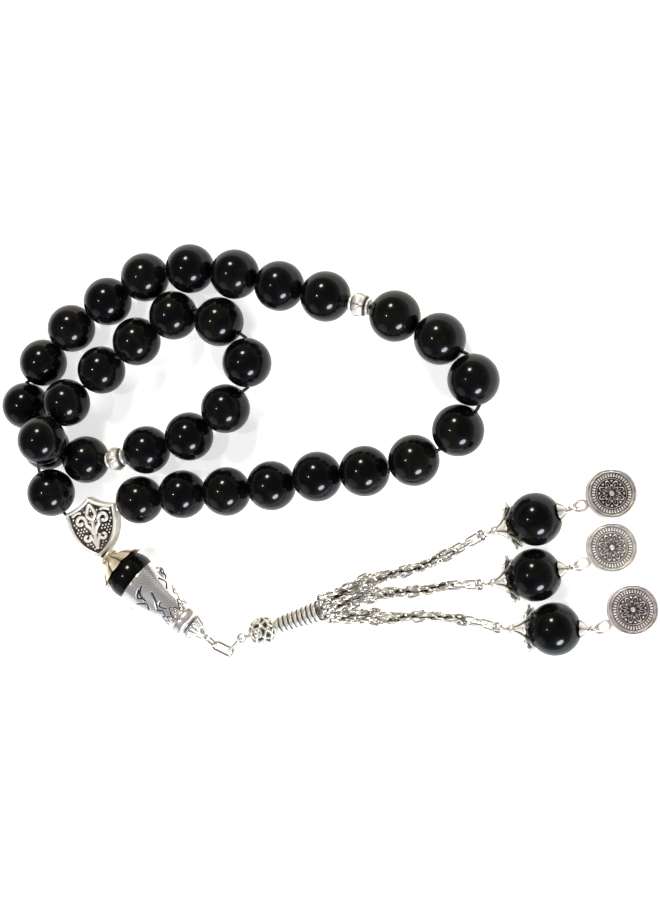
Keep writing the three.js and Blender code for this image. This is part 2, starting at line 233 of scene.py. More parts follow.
def tube(path, radius, sides=12, closed=False, polish_and_painted_light=1.0):
    """A tube along points. radius may be an array of a radius for each point and side."""
    path = np.asarray(path, float)
    count = len(path)
    if closed:
        ahead, behind = np.roll(path, -1, 0), np.roll(path, 1, 0)
    else:
        ahead = path[np.minimum(np.arange(count) + 1, count - 1)]
        behind = path[np.maximum(np.arange(count) - 1, 0)]
    along = ahead - behind
    along /= np.linalg.norm(along, axis=1, keepdims=True)
    side = np.cross(along[0], [0.1, 0.2, 1] if abs(along[0][2]) < 0.9 else [1, 0.1, 0.2])
    sides_of = []
    for direction in along:
        side = side - direction * np.dot(side, direction)
        side = side / np.linalg.norm(side)
        sides_of.append(side)
    side = np.array(sides_of)[:, None, :]
    other = np.cross(along, np.array(sides_of))[:, None, :]
    turn = angles(sides)[0]
    reach = np.broadcast_to(radius, (count, sides))[:, :, None]
    outward = np.cos(turn)[None, :, None] * side + np.sin(turn)[None, :, None] * other
    shape = Shape()
    shape.grid(path[:, None, :] + reach * outward, polish_and_painted_light, along=closed, capped=not closed)
    return shape


def level_link(length, wire=WIRE_RADIUS, arc=EYE_RADIUS, steps=12, sides=12):
    """A link in the plane of X and Z that runs along Z from its near arc, whose centre is the origin."""
    far = length - 2 * arc
    turn = np.linspace(0, math.pi, steps)
    near_arc = np.stack([arc * np.cos(turn), 0 * turn, -arc * np.sin(turn)], 1)
    far_arc = np.stack([-arc * np.cos(turn), 0 * turn, far + arc * np.sin(turn)], 1)
    if far <= wire:
        near_arc, far_arc = near_arc[:-1], far_arc[:-1]
    return tube(np.vstack([near_arc, far_arc]), wire, sides, closed=True)


def quarter_turned(shape):
    return shape.moved(Matrix.Rotation(math.pi / 2, 4, "Z"))


def shifted(shape, x=0, y=0, z=0):
    return shape.moved(Matrix.Translation((x, y, z)))


def near_strokes(points, strokes):
    """Each point's distance to the nearest of some strokes, which are lists of points in the same plane."""
    nearest = np.full(points.shape[:-1], np.inf)
    for stroke in strokes:
        stroke = np.asarray(stroke, float)
        for start, end in zip(stroke, stroke[1:]):
            run = end - start
            share = np.clip(((points - start) @ run) / max(run @ run, 1e-9), 0, 1)
            gap = np.linalg.norm(points - start - share[..., None] * run, axis=-1)
            nearest = np.minimum(nearest, gap)
    return nearest


def ease(value, low, high):
    """0 below low, 1 above high and smooth between them."""
    share = np.clip((value - low) / (high - low), 0, 1)
    return share * share * (3 - 2 * share)


def ridge(distance, width):
    """1 at no distance, falling to 0 at that width."""
    return 1 - ease(np.abs(distance), 0, width)


# ---- Materials ----


class Recipe:
    """A procedural material. Its nodes are made and joined one by one."""

    def __init__(self, name, **values):
        self.material = bpy.data.materials.new(name)
        self.material.use_nodes = True
        self.tree = self.material.node_tree
        self.shader = self.tree.nodes["Principled BSDF"]
        for socket, value in values.items():
            self.shader.inputs[socket.replace("_", " ")].default_value = value
        self.here = self.make("TexCoord").outputs["Object"]

    def make(self, kind, inputs=None, **settings):
        node = self.tree.nodes.new(f"ShaderNode{kind}")
        for key, value in settings.items():
            setattr(node, key, value)
        for key, value in (inputs or {}).items():
            if isinstance(value, bpy.types.NodeSocket):
                self.tree.links.new(value, node.inputs[key])
            else:
                node.inputs[key].default_value = value
        return node

    def noise(self, scale, detail=4, roughness=0.55, distortion=0.0):
        inputs = {"Vector": self.here, "Scale": scale, "Detail": detail}
        inputs.update({"Roughness": roughness, "Distortion": distortion})
        return self.make("TexNoise", inputs).outputs[0]

    def sum(self, operation, *values):
        return self.make("Math", dict(enumerate(values)), operation=operation).outputs[0]

    def range(self, value, low, high, out_low=0.0, out_high=1.0):
        inputs = {"Value": value, "From Min": low, "From Max": high, "To Min": out_low, "To Max": out_high}
        return self.make("MapRange", inputs).outputs[0]

    def blend(self, share, low, high):
        node = self.make("Mix", {"Factor": share}, data_type="RGBA")
        for socket, value in zip((node.inputs[6], node.inputs[7]), (low, high)):
            if isinstance(value, bpy.types.NodeSocket):
                self.tree.links.new(value, socket)
            else:
                socket.default_value = (*value, 1)
        return node.outputs[2]

    def into(self, socket, value):
        self.tree.links.new(value, self.shader.inputs[socket])

    def bump(self, height, strength, distance):
        inputs = {"Height": height, "Strength": strength, "Distance": distance}
        self.into("Normal", self.make("Bump", inputs).outputs[0])


def silver(name, bright, dark, gloss, wear=0.5, metal=0.7):
    """Antique silver: bright where it is high and rubbed, dark with patina in its hollows, with painted shade from
    ambient occlusion in its crevices and where pieces meet.
    """
    recipe = Recipe(name, Metallic=metal)
    polish_and_painted_light = recipe.make("Attribute", attribute_name="polish_and_painted_light").outputs["Fac"]
    # Painted shade: ambient occlusion darkens the colour in crevices and where pieces meet.
    occlusion_shade = recipe.make("AmbientOcclusion", {"Distance": 0.5 * MM}, samples=6).outputs["AO"]
    unshaded = recipe.range(occlusion_shade, 0.25, 0.8)
    patches = recipe.noise(700, 6)
    # This tone carries patina and wear, and on the rope links their painted highlight and shade.
    wear_and_painted_light = recipe.sum("MULTIPLY_ADD", recipe.sum("SUBTRACT", patches, 0.5), wear, polish_and_painted_light)
    wear_light_and_painted_shade = recipe.sum("MULTIPLY", recipe.range(wear_and_painted_light, 0.1, 0.75), recipe.range(unshaded, 0, 1, 0.35, 1))
    warm = recipe.blend(recipe.noise(260, 3), bright, (bright[0], bright[1] * 0.965, bright[2] * 0.89))
    recipe.into("Base Color", recipe.blend(wear_light_and_painted_shade, dark, warm))
    fine = recipe.noise(5200, 3)
    rough = recipe.sum("MULTIPLY_ADD", fine, 0.12, recipe.range(wear_light_and_painted_shade, 0, 1, 0.55, gloss))
    recipe.into("Roughness", rough)
    recipe.bump(recipe.sum("ADD", fine, patches), 0.12, 0.03 * MM)
    return recipe.material


def onyx():
    """Polished black stone: faint smoke in the black under a glassy, hand-rubbed gloss."""
    glassy = {"Coat_Weight": 0.55, "Coat_Roughness": 0.1, "Coat_IOR": 1.4}
    recipe = Recipe("onyx", IOR=1.5, Specular_IOR_Level=0.03, **glassy)
    smoke = recipe.noise(150, 5, 0.6, 1.6)
    bands = recipe.blend(recipe.range(smoke, 0.45, 0.75), (0.0015, 0.0015, 0.0018), (0.007, 0.0065, 0.005))
    recipe.into("Base Color", bands)
    haze = recipe.noise(420, 4)
    recipe.into("Roughness", recipe.range(haze, 0.3, 0.7, 0.26, 0.36))
    recipe.bump(recipe.noise(900, 2), 0.05, 0.02 * MM)
    return recipe.material


def black_cord():
    recipe = Recipe("cord", Sheen_Weight=0.25, Sheen_Roughness=0.5)
    fibres = recipe.noise(9000, 5)
    recipe.into("Base Color", recipe.blend(fibres, (0.006, 0.006, 0.006), (0.03, 0.028, 0.026)))
    recipe.into("Roughness", recipe.range(fibres, 0.2, 0.8, 0.65, 0.9))
    recipe.bump(fibres, 0.6, 0.04 * MM)
    return recipe.material


def pale_floor():
    recipe = Recipe("floor", Specular_IOR_Level=0.2, Emission_Color=(1, 1, 1, 1), Emission_Strength=0.7)
    grain = recipe.noise(60, 2)
    recipe.into("Base Color", recipe.blend(grain, (0.93, 0.93, 0.925), (0.95, 0.95, 0.945)))
    recipe.into("Roughness", recipe.range(grain, 0, 1, 0.6, 0.7))
    return recipe.material


ONYX = onyx()
SILVER = silver("silver", (0.97, 0.94, 0.89), (0.04, 0.034, 0.028), 0.33, metal=0.6)
SLEEVE = silver("silver_sleeve", (0.9, 0.87, 0.88), (0.03, 0.026, 0.022), 0.2, wear=0.2, metal=0.85)
WIRE = silver("silver_wire", (0.79, 0.765, 0.72), (0.03, 0.025, 0.02), 0.22, wear=0.7, metal=1.0)
CAST = silver("silver_cast", (0.84, 0.81, 0.76), (0.035, 0.03, 0.025), 0.3, wear=0.6, metal=0.7)
CREAM = silver("silver_warm", (0.97, 0.88, 0.7), (0.16, 0.105, 0.05), 0.32)
COINS = {
    "a": silver("coin_dark", (0.8, 0.74, 0.7), (0.03, 0.026, 0.024), 0.32, wear=0.7),
    "b": silver("coin_light", (0.92, 0.88, 0.84), (0.17, 0.155, 0.15), 0.38, wear=0.7),
    "c": silver("coin_grey", (0.85, 0.77, 0.76), (0.09, 0.075, 0.08), 0.36, wear=0.7),
}
CORD = black_cord()


# ---- Beads, dividers and cord ----

BEADS = [f"bead_{i:02d}" for i in range(1, 34)]
STRAND = BEADS[:11] + ["divider_1"] + BEADS[11:22] + ["divider_2"] + BEADS[22:]


def ball_profile(radius, bore, steps=28):
    """From one mouth of the bore over the ball to the other, with the mouths rounded, and back inside."""
    mouth = math.asin(math.sqrt(radius**2 - (bore + 0.22) ** 2) / radius)
    outside = [(radius * math.cos(a), radius * math.sin(a)) for a in np.linspace(-mouth, mouth, steps)]
    lip = outside[-1][1]
    mouth_edge = [(bore, -lip + 0.12), (bore + 0.08, -lip + 0.02)]
    return [*mouth_edge, *outside, *((r, -z) for r, z in reversed(mouth_edge))]


def bored_bead(bore=BORE_RADIUS):
    return lathe(ball_profile(BEAD_RADIUS, bore), 56, closed=True)


def divider(lobes=6):
    """A barrel of broad rounded lobes between two thin rolled rims."""
    half = DIVIDER_HALF_LENGTH
    side = [(1.5, 0.66 * half), (1.9, 0.58 * half), (2.3, 0.42 * half), (2.55, 0.2 * half), (2.62, 0)]
    waist = eased([(r, -z) for r, z in side[:-1]] + side[::-1], 5)
    rim = [(1.55, 0.7 * half), (1.72, 0.76 * half), (1.78, 0.85 * half), (1.7, 0.95 * half)]
    rim += [(1.45, half), (0.6, half)]
    profile = np.array([*((r, -z) for r, z in reversed(rim)), *waist, *rim])
    turn = angles(120)
    bulge = ease(0.62 * half - np.abs(profile[:, 1:]), 0, 0.5)
    crest = np.abs(np.cos(lobes * turn / 2)) ** 0.5
    radius = profile[:, :1] * (1 - 0.12 * bulge * (1 - crest))
    at_rim = ease(np.abs(profile[:, 1:]), 0.68 * half, 0.76 * half)
    polish_and_painted_light = np.maximum(0.15 + 0.85 * crest * bulge, at_rim)
    shape = Shape()
    shape.grid(turned(radius, turn, profile[:, 1:]), polish_and_painted_light, along=True)
    return shape


def cord_route():
    """The cord from the knot in the imame, through the shield, round the loop and back to the knot."""

    def end(side):
        twin = side * TWIN_SPACING / 2
        inside = [IMAME @ Vector((twin, 0, z)) for z in (7, -6.4)]
        return inside + [SHIELD @ Vector(p) for p in ((twin, -6, 0), (side * 5.2, 2.4, 0))]

    loop = []
    for name in STRAND:
        half = BEAD_RADIUS if name in BEADS else DIVIDER_HALF_LENGTH
        loop.extend(spin_frame(name) @ Vector((0, 0, z)) for z in (-half, half))
    return [p / MM for p in [*end(1), *loop, *reversed(end(-1))]]


def plied(route, radius, plies=3, pitch=2.2, spacing=0.35):
    """A cord of twisted plies along a route."""
    path = spread([tuple(p) for p in route], spacing)
    steps = np.linalg.norm(np.diff(path, axis=0), axis=1)
    run = np.concatenate([[0], np.cumsum(steps)])[:, None]
    twist = plies * (angles(12) - 2 * math.pi * run / (plies * pitch) * plies)
    hollow = np.abs(np.sin(twist / 2))
    return tube(path, radius * (1 - 0.22 * (1 - hollow) ** 2), 12, polish_and_painted_light=hollow)


for name in STRAND:
    in_bead = name in BEADS
    piece = bored_bead() if in_bead else divider()
    material, slot = (ONYX, "onyx") if in_bead else (SILVER, "silver")
    piece.build(f"{name}_fine", name, material, spin_frame(name), [name], slot)

cord = plied(cord_route(), CORD_RADIUS)
knot = shifted(lathe(ball_profile(1.1, 0.02, 12), 16), z=7).moved(Matrix.Scale(1 / MM, 4) @ IMAME)
cord.join(knot).build("cord_plied", "loop_string", CORD, Matrix.Scale(MM, 4), ["string"], "cord")


# ---- The shield connector ----


def shield_outline(per_run=26):
    """Peak, concave top edges, shoulders and bowed sides down to the tip, anticlockwise from the peak."""

    def bezier(*points):
        t = np.linspace(0, 1, per_run, endpoint=False)[:, None]
        degree = len(points) - 1
        weights = [math.comb(degree, i) * t**i * (1 - t) ** (degree - i) for i in range(degree + 1)]
        return sum(weight * np.array(point, float) for weight, point in zip(weights, points))

    left = [
        bezier((0, 6.4), (-2.4, 4.4), (-5.7, 4)),
        bezier((-5.7, 4), (-6, 0), (-4.6, -4.6), (0, -6.4)),
    ]
    right = [
        bezier((0, -6.4), (4.6, -4.6), (6, 0), (5.7, 4)),
        bezier((5.7, 4), (2.4, 4.4), (0, 6.4)),
    ]
    return np.vstack(left + right)


def inset(outline, distance):
    """The outline moved inwards. It shrinks towards the middle by that much on average."""
    reach = np.linalg.norm(outline, axis=1, keepdims=True)
    ahead = np.roll(outline, -1, 0) - np.roll(outline, 1, 0)
    ahead /= np.linalg.norm(ahead, axis=1, keepdims=True)
    inward = np.stack([-ahead[:, 1], ahead[:, 0]], 1)
    square = np.clip(np.sum(inward * -outline / reach, axis=1, keepdims=True), 0.55, 1)
    return outline * (1 - distance / square / reach)


def spiral(centre, radius, start, sweep, shrink=0.25, steps=26):
    """A scroll that winds in towards its centre. Angles are in degrees."""
    share = np.linspace(0, 1, steps)
    angle = np.radians(start + sweep * share)
    reach = radius * (1 - (1 - shrink) * share)
    return np.stack([centre[0] + reach * np.cos(angle), centre[1] + reach * np.sin(angle)], 1)


def arabesque():
    """A generic palmette: a bud on a stem with paired scrolls and leaves. Strokes with their half widths."""
    strokes = [(eased([(0, -4.7), (0, -2), (0, 0.4), (0, 1.5)], 6), 0.42)]
    bud = eased([(0, 1.4), (0.95, 2.5), (0.7, 3.6), (0, 4.8), (-0.7, 3.6), (-0.95, 2.5), (0, 1.4)], 6)
    strokes.append((bud, 0.36))
    for side in (1, -1):
        flip = np.array([side, 1])
        strokes.append((spiral((2.7, 1.5), 1.35, 215, -380) * flip, 0.38))
        strokes.append((eased([(0.2, -1.5), (0.7, -0.2), (1.6, 0.7)], 6) * flip, 0.4))
        strokes.append((spiral((1.95, -2), 0.95, 150, 330) * flip, 0.34))
        strokes.append((eased([(0.2, -3.9), (0.5, -3), (1.1, -1.7)], 6) * flip, 0.34))
        strokes.append((eased([(2.2, 3.4), (3.2, 3.5), (4.4, 3.0)], 6) * flip, 0.3))
    return strokes


def shield():
    """A slab whose rim stands round a sunk, ornamented ground, and a short tube for each cord end."""
    half = SHIELD_DEPTH / 2
    outline = shield_outline()
    ground = half - 0.5
    steps = [(0.9, -half), (0.2, -half), (0.05, -half + 0.06), (0, -half + 0.22), (0, half - 0.35)]
    steps += [(0.08, half - 0.14), (0.22, half - 0.03), (0.4, half), (0.58, half - 0.03)]
    steps += [(0.7, half - 0.14), (0.78, half - 0.3), (0.84, ground)]
    rows = np.array([[(*point, z) for point in inset(outline, distance)] for distance, z in steps])
    polish_and_painted_light = np.array([0.5, 0.5, 0.45, 0.4, 0.5, 0.9, 1, 1, 1, 0.8, 0.2, 0.1])[:, None]
    body = Shape()
    body.grid(rows, polish_and_painted_light, capped=True)
    for stroke, width in arabesque():
        path = [(*point, ground + 0.1) for point in stroke]
        body.join(tube(path, width))
    body.join(granules(outline, ground))
    for side in (1, -1):
        body.join(tube([(side * 4.9, 2.6, 0), (side * 6.1, 3.1, 0)], [[0.75], [0.62]], 20))
    return body


def granules(outline, ground, pitch=0.72):
    """Small raised grains in slanted rows on the ground, wherever there is room beside the strokes."""
    grains = Shape()
    room = inset(outline, 1.15)
    strokes = [stroke for stroke, _ in arabesque()]
    ring = np.vstack([room, room[:1]])
    for i in range(-9, 10):
        for j in range(-12, 12):
            spot = np.array([(i + 0.5 * (j % 2)) * pitch, j * pitch * 0.8])
            inside = within(spot, ring)
            if inside and near_strokes(spot, strokes) > 0.62:
                grain = lathe([(0.02, 0.17), (0.15, 0.11), (0.21, 0), (0.22, -0.05)], 8, polish_and_painted_light=0.95)
                grains.join(shifted(grain, *spot, ground))
    return grains


def within(spot, ring):
    """Whether a point lies inside a closed ring of points."""
    crossings = 0
    for (x0, y0), (x1, y1) in zip(ring, ring[1:]):
        if (y0 > spot[1]) != (y1 > spot[1]) and spot[0] < x0 + (spot[1] - y0) * (x1 - x0) / (y1 - y0):
            crossings += 1
    return crossings % 2 == 1


shield().build("shield_fine", "loop_string", SILVER, SHIELD, ["shield"])


# ---- The imame ----

SLEEVE_LIP = (4.95, 1.9)
FOOT_START = 13.5
CONE_START = 16.1
CONE_END = 20.1
PIN_SHAFT_END = 20.5
ENGRAVED_DEPTH = 0.07


def petal_cap(profile, petals, scallop, groove, hole=None, sides=240):
    """An open cap whose rim is cut into petals. The profile runs from the neck to the petals' tips."""
    profile = eased(profile, 9)
    turn = angles(sides)
    lobe = np.abs(np.cos(petals * turn / 2))
    share = np.linspace(0, 1, len(profile))[:, None]
    reach = share * (1 - scallop * (1 - lobe**0.7) * ease(share, 0.3, 1))
    radius = np.interp(reach, share[:, 0], profile[:, 0])
    height = np.interp(reach, share[:, 0], profile[:, 1])
    crease = (1 - lobe) ** 2 * ease(share, 0, 0.3)
    radius = radius * (1 - groove * crease)
    polish_and_painted_light = 1 - (1 - lobe) ** 1.3 * ease(share, 0.02, 0.15)
    keep = None
    if hole:
        pierced = ((share - hole[0]) / hole[1]) ** 2 + ((1 - lobe) / hole[2]) ** 2 < 1
        keep = ~pierced
        edge = ((share - hole[0]) / hole[1]) ** 2 + ((1 - lobe) / hole[2]) ** 2
        polish_and_painted_light = polish_and_painted_light * ease(edge, 0.9, 1.8)
    shape = Shape()
    shape.grid(turned(radius, turn, height), polish_and_painted_light, keep=keep)
    return shape


def collar(radius, start, end, grains=0, grain=0.25):
    """A short turned neck, ringed by grains at its foot."""
    profile = [(radius * 0.5, start), (radius * 0.9, start), (radius, start + 0.12), (radius, end - 0.1)]
    made = lathe([*profile, (radius * 0.9, end), (radius * 0.5, end)], 32, closed=True)
    for i in range(grains):
        turn = 2 * math.pi * i / grains
        ball = lathe(ball_profile(grain, 0.02, 8), 10)
        made.join(shifted(ball, radius * math.cos(turn), radius * math.sin(turn), end))
    return made


def imame_cap():
    """A cap of ten petals that follows the bead, with a ring of grains round its neck."""
    petals = 10
    outer = BEAD_RADIUS + CAP_GAP + 0.4
    neck = [(1.9, -6.5), (1.6, -6.1)]
    shell = [(outer * math.cos(a), outer * math.sin(a)) for a in np.radians([-68, -57, -46, -36])]
    tip = (5.4, -2.5)
    cap = petal_cap([*neck, *shell, tip], petals, scallop=0.1, groove=0.1)
    return cap.join(collar(1.75, -6.9, -6.2, petals, 0.3))


def sleeve_strokes():
    """Engraved leaf sprays and chevrons on one quarter of the sleeve, as points of arc and height."""
    strokes = []
    for shift in (0, 0.85):
        strokes.append(eased([(-1.5 + shift, 4), (-0.2 + shift, 4.7), (0.4, 6.3 - shift)], 6))
    strokes.append(eased([(1.9, 5.4), (0.9, 6.9), (2.0, 7.9)], 5))
    strokes.append(eased([(-1.8, 6.4), (-0.9, 8), (0.9, 9.4)], 5))
    strokes.append(eased([(-1.3, 8.9), (-0.3, 9.3), (-0.9, 10.6)], 5))
    strokes.append(eased([(0.9, 9.4), (0.2, 10.3), (0.9, 11.2)], 5))
    return strokes


def sleeve_surface():
    """The sleeve's outside, its foot and cone. Its ornament is engraved or raised on a fine net."""
    lip = [SLEEVE_LIP, (5.1, 1.75), (5.3, 1.72), (5.42, 1.8)]
    shoulder = [(5.42, 2.0), (5.3, 3.2), (4.95, 4.9), (4.4, 6.7)]
    waist = [(3.75, 8.8), (3.3, 10.6), (3.1, 12.4), (3.1, FOOT_START)]
    flare = [(3.1, FOOT_START), (3.45, 13.75), (3.75, 14.1), (3.85, 14.6)]
    flange = [(3.85, 15.3), (3.7, 15.8), (3.2, 16.05)]
    cone = [(2.35, CONE_START), (2.3, 16.6), (2.75, 16.8), (2.6, 17.2), (1.25, 19.9), (0.8, CONE_END)]
    foot = spread(flare + flange, 0.15)[1:]
    profile = np.vstack([lip, eased(shoulder + waist, 13), foot, spread(cone, 0.15)])
    turn = angles(288)
    height = profile[:, 1:]
    quarter = math.pi / 2
    arc = (np.mod(turn + quarter / 2, quarter) - quarter / 2) * 4.4
    flat = np.stack(np.broadcast_arrays(arc, height), axis=-1)
    cut = 1 - ease(near_strokes(flat, sleeve_strokes()), 0.14, 0.3)
    leaf_edge = 13 - 1.9 * np.abs(np.sin(4 * turn)) ** 1.5
    notch_edge = 12.7 - 0.9 * np.abs(np.sin(8 * turn))
    leaf = 1 - ease(np.abs(height - leaf_edge), 0.1, 0.3)
    notch = 1 - ease(np.abs(height - notch_edge), 0.1, 0.25)
    engraved = np.clip(cut + (leaf + notch) * (height < FOOT_START - 0.2), 0, 1)
    side = np.abs(np.mod(turn + math.pi / 2, math.pi) - math.pi / 2)
    oval = np.sqrt((side * 5 / 1.25) ** 2 + ((height - 4.9) / 1.7) ** 2)
    boss = (1 - ease(oval, 0.75, 1.05)) * (height < FOOT_START)
    boss_line = ridge(oval - 0.62, 0.16)
    grain = np.abs(np.sin(8 * turn))
    grains = grain * ease(height, 16.7, 17) * (1 - ease(height, 18.4, 18.8))
    radius = profile[:, :1] - ENGRAVED_DEPTH * engraved + 0.42 * boss - 0.1 * boss_line + 0.22 * grains
    gap = ridge(height - CONE_START - 0.25, 0.5)
    polish_and_painted_light = 1 - np.clip(0.95 * engraved + 0.8 * boss_line + 0.8 * gap, 0, 1)
    polish_and_painted_light = polish_and_painted_light * (1 - 0.9 * ease(height, 16.5, 16.9) * (1 - grain**0.7))
    shape = Shape()
    shape.grid(turned(radius, turn, height), polish_and_painted_light)
    return shape


def sleeve():
    """The sleeve with the dark cup inside it that holds the bead."""
    inner = BEAD_RADIUS + CAP_GAP
    cup = [(inner * math.cos(a), inner * math.sin(a)) for a in np.radians(np.linspace(66, 19, 9))]
    lining = np.array([*cup, SLEEVE_LIP])
    inside = Shape()
    inside.grid(turned(lining[:, :1], angles(96), lining[:, 1:]), 0.3)
    return sleeve_surface().join(inside)


def eye():
    """A wire ring that stands upright."""
    return quarter_turned(level_link(2 * EYE_RADIUS))


def wrapped(start, end, radius, turns, wire=0.16):
    """A wire wound round a shaft."""
    share = np.linspace(0, 1, turns * 16)
    path = turned(radius, 2 * math.pi * turns * share, start + (end - start) * share)
    return tube(path, wire, 8, polish_and_painted_light=0.9)


def shaft(radius, start, end):
    """A plain rod along Z."""
    return lathe([(0.02, start), (radius, start), (radius, end), (0.02, end)], 16)


imame_cap().build("imame_cap_fine", "imame_cap", CREAM, IMAME, ["imame_cap"])
bored_bead(1.0).build("imame_bead_fine", "imame_bead", ONYX, IMAME, ["imame_bead"], "onyx")
sleeve().build("imame_sleeve_fine", "imame_sleeve", SLEEVE, IMAME, ["imame_sleeve"])

headed_shaft = [(0.02, 8.8), (1.2, 8.8), (1.2, 9.4), (0.4, 9.4), (0.4, PIN_SHAFT_END), (0.02, PIN_SHAFT_END)]
eye_pin = lathe(headed_shaft, 20)
eye_pin.join(shifted(quarter_turned(level_link(PIN_LOOP)), z=PIN_SHAFT_END + LINK_GRIP))
eye_pin.join(wrapped(19.7, PIN_SHAFT_END, 0.5, 3))
eye_pin.build("imame_eye_pin_fine", "loop_string", WIRE, IMAME, ["imame_eye_pin"])


# ---- The links and the tassel's head ----


def link_frame(node, joint):
    place = place_of(joint)
    return frame_at(place, centroid(node) - place)


first_link = link_frame("tassel_link_1", "link_1_swing")
second_link = link_frame("tassel_link_2", "link_2_lift")
level_link(LINK_LENGTH).build("tassel_link_1_fine", "tassel_link_1", WIRE, first_link, ["tassel_link_1"])
standing = quarter_turned(level_link(LINK_LENGTH))
standing.build("tassel_link_2_fine", "tassel_link_2", WIRE, second_link, ["tassel_link_2"])

HEAD = frame_at(place_of("tassel_swing"), JOINTS["tassel_ball_spin"]["axis"])


def ribbed_tube(ribs=9):
    """A tube of rolled ribs that widens to an open mouth."""
    steps = ribs * 10
    share = np.linspace(0, 1, steps + 1)
    rib = np.abs(np.sin(math.pi * ribs * share))
    outside = 1.58 + 0.58 * share - 0.3 * (1 - rib) ** 3
    height = TUBE_START + (TUBE_END - TUBE_START) * share
    mouth = [(1.65, TUBE_END), (1.6, TUBE_END - 1.5), (0.5, TUBE_END - 1.6)]
    profile = [(0.5, TUBE_START), *zip(outside, height), *mouth]
    polish_and_painted_light = [0.6, *(0.03 + 0.97 * ease(rib, 0.4, 0.75)), 0.8, 0.1, 0.05]
    return lathe(profile, 64, polish_and_painted_light, closed=True)


washer = [(0.4, 8.05), (1.0, 8.05), (1.15, 8.2), (1.0, 8.38), (0.4, 8.38)]
head = ribbed_tube().join(level_link(2 * EYE_RADIUS)).join(shaft(0.42, 0.8, TUBE_START + 0.5))
head.join(lathe(washer, 32, closed=True))
head.build("tassel_tube_fine", "tassel_tube", CAST, HEAD, ["tassel_tube"])


def filigree_ball():
    """A ball of scrolled wirework over dark hollows, between two thin collars."""
    turn = angles(240)
    tilt = np.radians(np.linspace(-75, 75, 110))[:, None]
    wires = np.zeros(np.broadcast_shapes(turn.shape, tilt.shape))
    sixth = 6 * turn / (2 * math.pi)
    for slant in (1.4, -1.4):
        wires = np.maximum(wires, ridge(np.mod(sixth + slant * tilt, 1) - 0.5, 0.27))
    ring = np.sqrt((np.mod(sixth, 1) - 0.5) ** 2 * 1.7 + (tilt * 1.5) ** 2)
    wires = np.maximum(wires, ridge(ring - 0.4, 0.2))
    wires = np.maximum(wires, ridge(ring, 0.22))
    wires = np.maximum(wires, ridge(np.abs(tilt) - 0.95, 0.16))
    radius = BALL_RADIUS - 0.42 * (1 - wires)
    ball = Shape()
    ball.grid(turned(radius * np.cos(tilt), turn, radius * np.sin(tilt)), 0.05 + 0.95 * wires)
    for side in (1, -1):
        rim = [(0.55, side * 2.6), (1.0, side * 2.75), (1.0, side * 2.95), (0.55, side * 3.0)]
        ball.join(lathe(rim, 24, closed=True))
    return ball


filigree_ball().build("tassel_ball_fine", "tassel_ball", CAST, spin_frame("tassel_ball"), ["tassel_ball"])


# ---- The three strands ----

# Each chain's route from the tube's mouth, its coin's compass heading and rise in degrees, and its bail.
CHAIN_ROUTES = {
    "a": [
        (3.4, -28.6, 1.2), (8.6, -25.9, 1), (12, -24.8, 1), (16, -23.6, 1), (20.4, -22, 1),
        (24.6, -20, 1.4), (28.4, -17.8, 2.6),
    ],
    "b": [
        (5, -30.1, 1.4), (8.8, -28.7, 1), (12.5, -28.1, 1), (16.4, -27.7, 1), (20.6, -26.9, 1),
        (24.6, -26, 1.2), (28.4, -25.4, 2.6),
    ],
    "c": [
        (5.4, -33.2, 1.2), (8.8, -32.9, 1), (13, -33.1, 1), (17, -32.6, 1), (21.5, -32.1, 1),
        (26, -32.3, 1.2), (31.4, -32.4, 2.6),
    ],
}
COIN_HEADINGS = {"a": (24, -23.5), "b": (32, -20), "c": (33, -20)}
COIN_BAILS = {"a": 2.4, "b": 2.8, "c": 2.8}

# The routes' own origin in the row frame, in millimetres, from the imame bead's place in theirs.
IMAME_ON_ROUTES = Vector((-42.4, -27, 5.6))
ROUTE_ORIGIN = place_of("imame_bead_spin") / MM - IMAME_ON_ROUTES
PIN_NEAR_EYE = -10.2
PIN_FAR_EYE = 7.7
PIN_SHAFT = (-9.4, 6.9)
PETALS = 9

# The ropes: the step from one small link to the next, the links' size, and the loose rings at the far end.
ROPE_PITCH = 0.9
ROPE_LIFT = 0.35
ROPE_LINK = {"length": 2.5, "wire": 0.24, "arc": 0.6, "steps": 7, "sides": 8}
LOOSE_LENGTH = 6.5
LOOSE_RINGS = 3


def chain_path(letter):
    """The chain's middle line in millimetres, from the tube's mouth, and its last ring's end and aim."""
    start = place_of(f"chain_{letter}_lift") / MM
    route = [Vector(p) + ROUTE_ORIGIN for p in CHAIN_ROUTES[letter]]
    near_eye = place_of(f"tassel_pin_{letter}_lift") / MM
    pin_aim = Vector(JOINTS[f"tassel_bead_{letter}_spin"]["axis"])
    end = near_eye + pin_aim * (LINK_GRIP - EYE_RADIUS)
    aim = (end - route[-1]).normalized()
    return eased([start, *route, end - aim * 2 * EYE_RADIUS], 16), end, aim


def along(path, distance):
    """The point and direction at a distance along a path, and the path's whole length."""
    steps = np.linalg.norm(np.diff(path, axis=0), axis=1)
    run = np.concatenate([[0], np.cumsum(steps)])
    distance = min(max(distance, 0), run[-1] - 1e-6)
    i = int(np.searchsorted(run, distance, side="right")) - 1
    share = (distance - run[i]) / steps[i]
    direction = (path[i + 1] - path[i]) / steps[i]
    return path[i] + (path[i + 1] - path[i]) * share, direction, run[-1]


